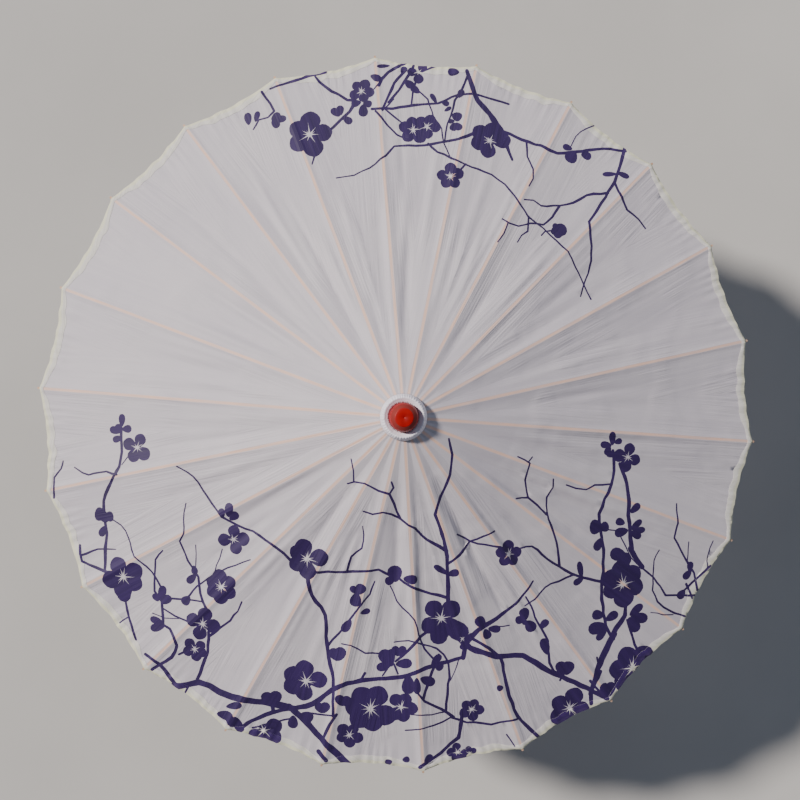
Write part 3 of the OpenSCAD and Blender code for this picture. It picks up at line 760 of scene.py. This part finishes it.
def lacquer(name, base, deep):
    """Red lacquer: even on top, with brush lines round it, small pits, and a rougher bevel ring painted a
    duller, pinker red as a painted reflection of the sky.
    """
    s = Surface(name)
    place = s.place()
    x, y, z = s.split(place)
    reach = s.math("SQRT", s.math("ADD", s.math("MULTIPLY", x, x), s.math("MULTIPLY", y, y)))
    brushed = s.noise(s.join(s.math("MULTIPLY", reach, 2600), s.math("MULTIPLY", z, 900), 0.0), 1, 3)
    pits = s.noise(place, 900, 2)
    blotch = s.noise(place, 120, 3)
    colour = s.mix(s.span(blotch, 0.35, 0.7), base, deep)
    # painted reflection: the bevel ring is painted a duller, pinker red as the sky's reflection; it is
    # also made rougher
    dull_ring_and_reflection = s.math("MULTIPLY", s.span(reach, 0.0097, 0.0104), s.span(reach, 0.0134, 0.0142, 1, 0))
    dull_ring_and_reflection = s.math("MULTIPLY", dull_ring_and_reflection, s.span(blotch, 0.25, 0.6, 0.9, 0.6))
    colour = s.mix(dull_ring_and_reflection, colour, (0.20, 0.035, 0.03))
    relief = s.math("ADD", s.math("MULTIPLY", brushed, 0.5), s.math("MULTIPLY", pits, 0.5))
    s.drive(
        base_color=colour,
        roughness=s.span(dull_ring_and_reflection, 0, 0.7, 0.42, 0.68),
        normal=s.bump(relief, 0.0001, 0.5),
    )
    s.shader.inputs["Specular IOR Level"].default_value = 0.3
    s.set(coat_weight=0.04, coat_roughness=0.25)
    return s.material


def wire_metal(name):
    s = Surface(name)
    place = s.place()
    scratch = s.noise(s.stretch(place, (500, 500, 2500)), 1, 4)
    s.drive(
        base_color=s.mix(s.span(scratch, 0.35, 0.7), (0.30, 0.29, 0.28), (0.62, 0.61, 0.60)),
        roughness=s.span(scratch, 0.3, 0.7, 0.5, 0.28),
        normal=s.bump(scratch, 0.0001, 0.4),
    )
    s.set(metallic=1.0)
    return s.material


def moulded(name):
    s = Surface(name)
    grit = s.noise(s.place(), 1600, 3)
    worn = s.noise(s.place(), 160, 3)
    s.drive(
        base_color=s.mix(s.span(worn, 0.4, 0.75), (0.018, 0.017, 0.016), (0.05, 0.047, 0.044)),
        roughness=s.span(worn, 0.3, 0.7, 0.42, 0.6),
        normal=s.bump(grit, 0.0001, 0.5),
    )
    return s.material


# Each pair is a colour and its painted shade, which the cloth takes in its crease valleys.
SILK, SILK_SHADE = (0.60, 0.565, 0.62), (0.54, 0.505, 0.575)
PEACH = (0.84, 0.55, 0.44)
INK_LIGHT, INK_SHADE = (0.034, 0.013, 0.105), (0.018, 0.006, 0.060)

cloth = woven("cloth", SILK, SILK_SHADE, PEACH)
ink = woven("ink", INK_LIGHT, INK_SHADE)
# painted shade: the underside cloth is a darker copy of the upper side's
cloth_under_shaded = woven("cloth_under_shaded", (0.47, 0.45, 0.48), (0.42, 0.40, 0.44))
ink_under = woven("ink_under", (0.19, 0.165, 0.28), (0.15, 0.13, 0.235))
hem_cloth = hem_fabric("hem_cloth", (0.70, 0.68, 0.66), (0.74, 0.73, 0.56), (0.60, 0.59, 0.53))
hem_ink = hem_fabric("hem_ink", (0.034, 0.013, 0.105), (0.05, 0.025, 0.12), (0.018, 0.006, 0.060))
collar_cloth = woven("collar_cloth", (0.92, 0.89, 0.99), (0.80, 0.77, 0.88), streaks=0.5)
rib_wood = turned_wood("rib_wood", (0.50, 0.30, 0.20), (0.66, 0.46, 0.33), 0.5, upright=False)
stretcher_wood = turned_wood("stretcher_wood", (0.46, 0.32, 0.19), (0.64, 0.49, 0.32), 0.5, upright=False)
hub_wood = turned_wood("hub_wood", (0.52, 0.38, 0.23), (0.70, 0.56, 0.38), 0.42, coat=0.2)
shaft_wood = turned_wood("shaft_wood", (0.42, 0.25, 0.12), (0.60, 0.41, 0.23), 0.36, coat=0.4)
handle_wood = turned_wood("handle_wood", (0.07, 0.028, 0.014), (0.17, 0.075, 0.036), 0.3, coat=0.6)
catch_wood = turned_wood("catch_wood", (0.45, 0.30, 0.14), (0.62, 0.46, 0.26), 0.4, coat=0.2)
red = lacquer("cap_lacquer", (0.36, 0.002, 0.001), (0.28, 0.001, 0.001))
wire = wire_metal("wire_metal")
black = moulded("plug_black")

# ---------------------------------------------------------------- building pieces


def new_piece(name, points, faces, materials, kinds=None):
    mesh = bpy.data.meshes.new(name)
    mesh.from_pydata([tuple(p) for p in points], [], faces)
    for m in materials:
        mesh.materials.append(m)
    if kinds is not None:
        mesh.polygons.foreach_set("material_index", np.array(kinds, np.int32))
    mesh.polygons.foreach_set("use_smooth", np.ones(len(mesh.polygons), bool))
    mesh.update()
    piece = bpy.data.objects.new(name, mesh)
    bpy.context.scene.collection.objects.link(piece)
    return piece


def set_uv(piece, uv):
    layer = piece.data.uv_layers.new(name="cloth")
    corners = np.zeros(len(piece.data.loops), np.int32)
    piece.data.loops.foreach_get("vertex_index", corners)
    layer.data.foreach_set("uv", np.asarray(uv, np.float32)[corners].ravel())


def closed_sheet(name, plan, uv, triangles, kinds, top, bottom, materials):
    """A sheet with an upper and a lower side. The lower side's kinds follow the upper ones."""
    used = np.unique(triangles)
    index = -np.ones(len(plan), int)
    index[used] = np.arange(len(used))
    tris = index[triangles]
    n = len(used)
    upper = np.column_stack([plan[used], top[used]])
    lower = np.column_stack([plan[used], bottom[used]])
    edges = {}
    for a, b, c in tris:
        for e in ((a, b), (b, c), (c, a)):
            edges[e] = True
    rim = [(a, b) for a, b in edges if (b, a) not in edges]
    faces = [tuple(t) for t in tris]
    faces += [(c + n, b + n, a + n) for a, b, c in tris]
    faces += [(a, a + n, b + n, b) for a, b in rim]
    layers = len(materials) // 2
    all_kinds = list(kinds) + [k + layers for k in kinds] + [0] * len(rim)
    piece = new_piece(name, np.vstack([upper, lower]), faces, materials, all_kinds)
    set_uv(piece, np.vstack([uv[used], uv[used]]))
    piece.data.set_sharp_from_angle(angle=math.radians(60))
    return piece


ROW_U, ROW_V = 0.007, 0.0026


def to_local(points, azimuth):
    c, s = math.cos(azimuth), math.sin(azimuth)
    return points @ np.array([[c, -s], [s, c]])


def to_plan(points, azimuth):
    return to_local(points, -azimuth)


def polar(reach, turn):
    return np.stack([reach * np.cos(turn), reach * np.sin(turn)], 1)


def touches_gore(outline):
    """True if a small outline, in a gore's own plan, may reach into the gore."""
    middle = outline.mean(0)
    radius = np.linalg.norm(outline - middle, axis=1).max()
    off = abs(middle[1]) * math.cos(HALF) - middle[0] * math.sin(HALF)
    return middle[0] > -radius and off < radius


def winds_round(outline, spots):
    """For each spot, whether the outline goes round it."""
    near = np.all((spots > outline.min(0)) & (spots < outline.max(0)), axis=1)
    x, y = spots[near, 0:1], spots[near, 1:2]
    x0, y0 = outline.T
    x1, y1 = np.roll(outline, -1, axis=0).T
    side = (x1 - x0) * (y - y0) - (x - x0) * (y1 - y0)
    up = (y0 <= y) & (y1 > y) & (side > 0)
    down = (y0 > y) & (y1 <= y) & (side < 0)
    result = np.zeros(len(spots), bool)
    result[near] = up.sum(1) != down.sum(1)
    return result


def gore_plan(azimuth):
    """The gore's triangles in its own plan, and for each: whether it is hem, and whether it is ink."""
    points = []
    edges = []

    def add(line, closed=False):
        start = len(points)
        points.extend(Vector(p) for p in line)
        ids = list(range(start, len(points)))
        edges.extend(zip(ids, ids[1:]))
        if closed:
            edges.append((ids[-1], ids[0]))

    steps = np.linspace(0, 1, 62)
    low_side = CLOTH_IN + steps * (edge_reach(azimuth - HALF) - CLOTH_IN)
    high_side = CLOTH_IN + steps * (edge_reach(azimuth + HALF) - CLOTH_IN)
    rim_turns = np.linspace(-HALF, HALF, 41)
    inner_turns = np.linspace(HALF, -HALF, 5)
    gore = np.vstack([
        polar(low_side, -HALF * np.ones_like(steps)),
        polar(edge_reach(azimuth + rim_turns), rim_turns)[1:-1],
        polar(high_side[::-1], HALF * np.ones_like(steps)),
        polar(CLOTH_IN * np.ones(5), inner_turns)[1:-1],
    ])
    add(gore, closed=True)

    wide = np.linspace(-1.25 * HALF, 1.25 * HALF, 51)
    reach = edge_reach(azimuth + wide)
    hem_in = reach - hem_width(azimuth + wide)
    band = np.vstack([polar(hem_in, wide)[::-1], polar(reach + 0.01, wide)])
    add(band, closed=True)
    for part in (0.35, 0.7):
        add(polar(reach + part * (hem_in - reach), wide))

    along = np.arange(0.01, TIP_REACH, ROW_U)
    rib_lines = (0, 0.5 * RIDGE_FLAT, RIDGE_FLAT, 0.5 * (RIDGE_FLAT + RIDGE_FOOT), RIDGE_FOOT)
    for v in rib_lines:
        add(np.stack([along, np.full_like(along, v)], 1))
        if v > 0:
            add(np.stack([along, np.full_like(along, -v)], 1))

    for k, u in enumerate(np.arange(0.018, CLOTH_OUT, ROW_U)):
        v = np.arange(-0.0650 + (k % 2) * ROW_V / 2, 0.065, ROW_V)
        turns = np.arctan2(v, u)
        inside = np.hypot(u, v) < edge_reach(azimuth + turns) - hem_width(azimuth + turns) - 0.0015
        room = np.abs(v) < u * math.tan(HALF) - 0.0012
        clear_of_rib = np.abs(v) > RIDGE_FOOT + 0.001
        points.extend(Vector((u, value)) for value in v[inside & room & clear_of_rib])

    ink_here = [o for o in (to_local(outline, azimuth) for outline in INK) if touches_gore(o)]
    clear_here = [o for o in (to_local(outline, azimuth) for outline in CLEAR) if touches_gore(o)]
    for outline in ink_here + clear_here:
        add(outline, closed=True)

    result = delaunay_2d_cdt(points, edges, [], 0, 1e-6, False)
    plan = np.array([tuple(p) for p in result[0]])
    triangles = np.array(result[2])
    spots = plan[triangles].mean(1)
    kept = winds_round(gore, spots)
    triangles, spots = triangles[kept], spots[kept]
    inked = np.zeros(len(spots), bool)
    for outline in ink_here:
        inked |= winds_round(outline, spots)
    for outline in clear_here:
        inked &= ~winds_round(outline, spots)
    return plan, triangles, winds_round(band, spots), inked


def make_gore(i):
    """A gore's strip over the rib, its two flanks, and the hem of all three."""
    azimuth = rib_azimuth(i)
    local, triangles, hem, inked = gore_plan(azimuth)
    plan = to_plan(local, azimuth)
    top = cloth_height(plan[:, 0], plan[:, 1])
    kinds = inked.astype(int)
    reach = np.hypot(plan[:, 0], plan[:, 1])
    turns = np.arctan2(plan[:, 1], plan[:, 0])
    from_edge = (edge_reach(turns) - reach) / hem_width(turns)
    roll = 0.0003 + 0.0005 * np.sin(math.pi * np.clip(from_edge, 0, 1)) ** 0.7
    hem_uv = np.stack([turns * reach, from_edge * HEM_W], 1)
    spots = local[triangles].mean(1)[:, 1]
    zones = {
        "strip": np.abs(spots) < RIDGE_FLAT,
        "left": spots > RIDGE_FLAT,
        "right": spots < -RIDGE_FLAT,
    }
    for part, zone in zones.items():
        here = zone & ~hem
        sheet = closed_sheet(
            f"cloth_{i:02d}_{part}", plan, local, triangles[here], kinds[here], top, top - CLOTH_T,
            [cloth, ink, cloth_under_shaded, ink_under],
        )
        here = zone & hem
        band = closed_sheet(
            f"hem_{i:02d}_{part}", plan, hem_uv, triangles[here], kinds[here],
            top + roll, top - CLOTH_T - roll, [hem_cloth, hem_ink, hem_cloth, hem_cloth],
        )
        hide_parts("canopy")
        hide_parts("rim_hem")
        for piece in (sheet, band):
            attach(piece, f"rib_arm_{i:02d}")
            if part != "strip":
                way = 1 if part == "left" else -1
                kept_share = folded_share(azimuth + way * HALF)
                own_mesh(piece)


def lathe(name, profile, turns, material, ripple=None):
    """Turns a profile of (reach, height) points round the shaft's axis."""
    points = []
    faces = []
    rows = len(profile)
    for k in range(turns):
        a = 2 * math.pi * k / turns
        for j, (r, z) in enumerate(profile):
            dr, dz = ripple(j, a) if ripple else (0, 0)
            points.append(((r + dr) * math.cos(a), (r + dr) * math.sin(a), z + dz))
        for j in range(rows - 1):
            here, there = k * rows + j, (k + 1) % turns * rows + j
            faces.append((here, here + 1, there + 1, there))
    return new_piece(name, points, faces, [material])


def above_hub(profile):
    return [(r / 1000, HUB_Z + z / 1000) for r, z in profile]


def make_cap():
    profile = above_hub([
        (0.01, 26.5), (0.5, 26.55), (0.9, 26.8), (1.3, 27.0), (9.2, 27.0), (9.6, 26.9), (9.9, 26.6),
        (10.3, 26.2), (13.2, 23.2), (13.6, 22.7), (14.0, 22.0), (14.6, 20.6), (15.1, 19.2), (15.5, 17.4),
        (15.75, 15.0), (15.8, 9.2), (15.6, 8.5), (15.2, 8.2), (13.1, 8.2),
    ])
    cap = lathe("cap_shell", profile[::-1], 96, red)
    cap.data.set_sharp_from_angle(angle=math.radians(38))
    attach(cap, "frame")
    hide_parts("cap")


def make_collar():
    profile = above_hub([
        (13.2, 7.9), (15.0, 8.0), (16.2, 8.8), (16.7, 10.2), (17.6, 11.2), (18.7, 11.5), (19.8, 12.2),
        (20.7, 13.0), (21.5, 13.0), (22.1, 12.2), (22.6, 10.8), (23.2, 9.0), (23.8, 7.0), (24.5, 4.8),
        (25.0, 3.1),
    ])
    depth = [0, 0, 0.1, 0.15, 0.2, 0.2, 0.2, 0.25, 0.35, 0.45, 0.5, 0.5, 0.4, 0.35, 0.4]
    phases = rng.uniform(0, 6.3, 3)

    def ripple(j, a):
        fold = math.sin(52 * a + 1.2 * math.sin(5 * a + phases[0])) + 0.5 * math.sin(23 * a + phases[1])
        slow = 0.4 * math.sin(3 * a + phases[2])
        return (fold * depth[j] + slow * depth[j]) / 1000, fold * depth[j] * 0.5 / 1000

    collar = lathe("collar_cloth", profile[::-1], 416, collar_cloth, ripple)
    solid = collar.modifiers.new("thickness", "SOLIDIFY")
    solid.thickness = 0.0004
    solid.offset = -1
    set_uv(collar, [(v.co.z, math.atan2(v.co.y, v.co.x) * 0.02) for v in collar.data.vertices])
    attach(collar, "frame")
    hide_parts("collar")


def make_spring():
    """The catch's flat spring, as a thin bent leaf."""
    turn_z = JOINTS["catch_press"]["pos_m"][2]
    line = [
        (-3.0, 6), (-3.0, 8), (-2.85, 9.8), (-2.4, 12), (-1.75, 14.8), (-1, 18), (-0.2, 21.4),
        (0.65, 25.1),
    ]
    ways = [Vector(b) - Vector(a) for a, b in zip(line[:-1], line[1:])]
    ways.append(ways[-1])
    points = []
    for (x, z), way in zip(line, ways):
        side = Vector((way.y, -way.x)).normalized() * 0.22
        for sx, y in ((-1, -0.8), (1, -0.8), (1, 0.8), (-1, 0.8)):
            points.append(((x + sx * side.x) / 1000, y / 1000, turn_z + (z + sx * side.y) / 1000))
    faces = [(3, 2, 1, 0)]
    for k in range(len(line) - 1):
        for j in range(4):
            after = (j + 1) % 4
            faces.append((4 * k + j, 4 * k + after, 4 * k + 4 + after, 4 * k + 4 + j))
    last = 4 * len(line) - 4
    faces.append((last, last + 1, last + 2, last + 3))
    spring = new_piece("spring_leaf", points, faces, [wire])
    spring.data.set_sharp_from_angle(angle=math.radians(40))
    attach(spring, "frame")
    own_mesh(spring)
    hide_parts("catch_spring")


for index in range(1, RIBS + 1):
    make_gore(index)
make_cap()
make_collar()
make_spring()

FINISHES = {
    "shaft": shaft_wood, "handle": handle_wood, "end_plug": black, "top_hub": hub_wood,
    "runner": hub_wood, "hub_tie_wire": wire, "runner_tie_wire": wire, "stop_pin": wire,
    "catch_pin": wire, "catch_spring": wire, "catch": catch_wood,
}
for index in range(1, RIBS + 1):
    FINISHES[f"rib_{index:02d}"] = rib_wood
    FINISHES[f"stretcher_{index:02d}"] = stretcher_wood
for node, finish in FINISHES.items():
    mesh = frame["nodes"][node].data
    mesh.materials.clear()
    mesh.materials.append(finish)

# ---------------------------------------------------------------- floor, lights and camera

RIM_Z = HUB_Z - TIP_REACH * TAN + 0.0076
CAMERA_RISE = 3.6 * TIP_REACH

corners = [(-40, -40, -0.0005), (40, -40, -0.0005), (40, 40, -0.0005), (-40, 40, -0.0005)]
floor = new_piece("floor", corners, [(0, 1, 2, 3)], [])
pale = Surface("floor_pale")
mottle = pale.noise(pale.place(), 3, 4)
pale.drive(base_color=pale.mix(pale.span(mottle, 0.3, 0.7), (0.50, 0.49, 0.48), (0.54, 0.53, 0.52)))
pale.set(roughness=0.9)
floor.data.materials.append(pale.material)


def aim(lamp, azimuth, height):
    """Points a lamp so that its light comes from an azimuth and a height, both in degrees."""
    a, h = math.radians(azimuth), math.radians(height)
    travel = Vector((-math.cos(a) * math.cos(h), -math.sin(a) * math.cos(h), -math.sin(h)))
    lamp.rotation_mode = "QUATERNION"
    lamp.rotation_quaternion = travel.to_track_quat("-Z", "Y")
    bpy.context.scene.collection.objects.link(lamp)


sun = bpy.data.objects.new("sun", bpy.data.lights.new("sun", "SUN"))
sun.data.energy = 4.9
sun.data.angle = math.radians(6)
sun.data.color = (1.0, 0.93, 0.85)
aim(sun, azimuth=152, height=44)

fill = bpy.data.objects.new("fill", bpy.data.lights.new("fill", "SUN"))
fill.data.energy = 0.55
fill.data.angle = math.radians(80)
fill.data.color = (0.86, 0.91, 1.0)
aim(fill, azimuth=48, height=26)

world = bpy.data.worlds.new("studio")
world.use_nodes = True
world.node_tree.nodes["Background"].inputs["Color"].default_value = (0.60, 0.74, 1.0, 1)
world.node_tree.nodes["Background"].inputs["Strength"].default_value = 0.13
bpy.context.scene.world = world

turn = (
    Matrix.Rotation(math.radians(0.23), 3, "X")
    @ Matrix.Rotation(math.radians(1.87), 3, "Y")
    @ Matrix.Rotation(math.radians(3.87), 3, "Z")
)
camera = bpy.data.objects.new("camera", bpy.data.cameras.new("camera"))
camera.data.sensor_width = 36
camera.data.lens = 58.1
offset = Vector((0.0028 * TIP_REACH, 0.0418 * TIP_REACH, CAMERA_RISE))
back = turn.transposed()
camera.matrix_world = Matrix.Translation(back @ offset + Vector((0, 0, RIM_Z))) @ back.to_4x4()
bpy.context.scene.collection.objects.link(camera)
bpy.context.scene.camera = camera
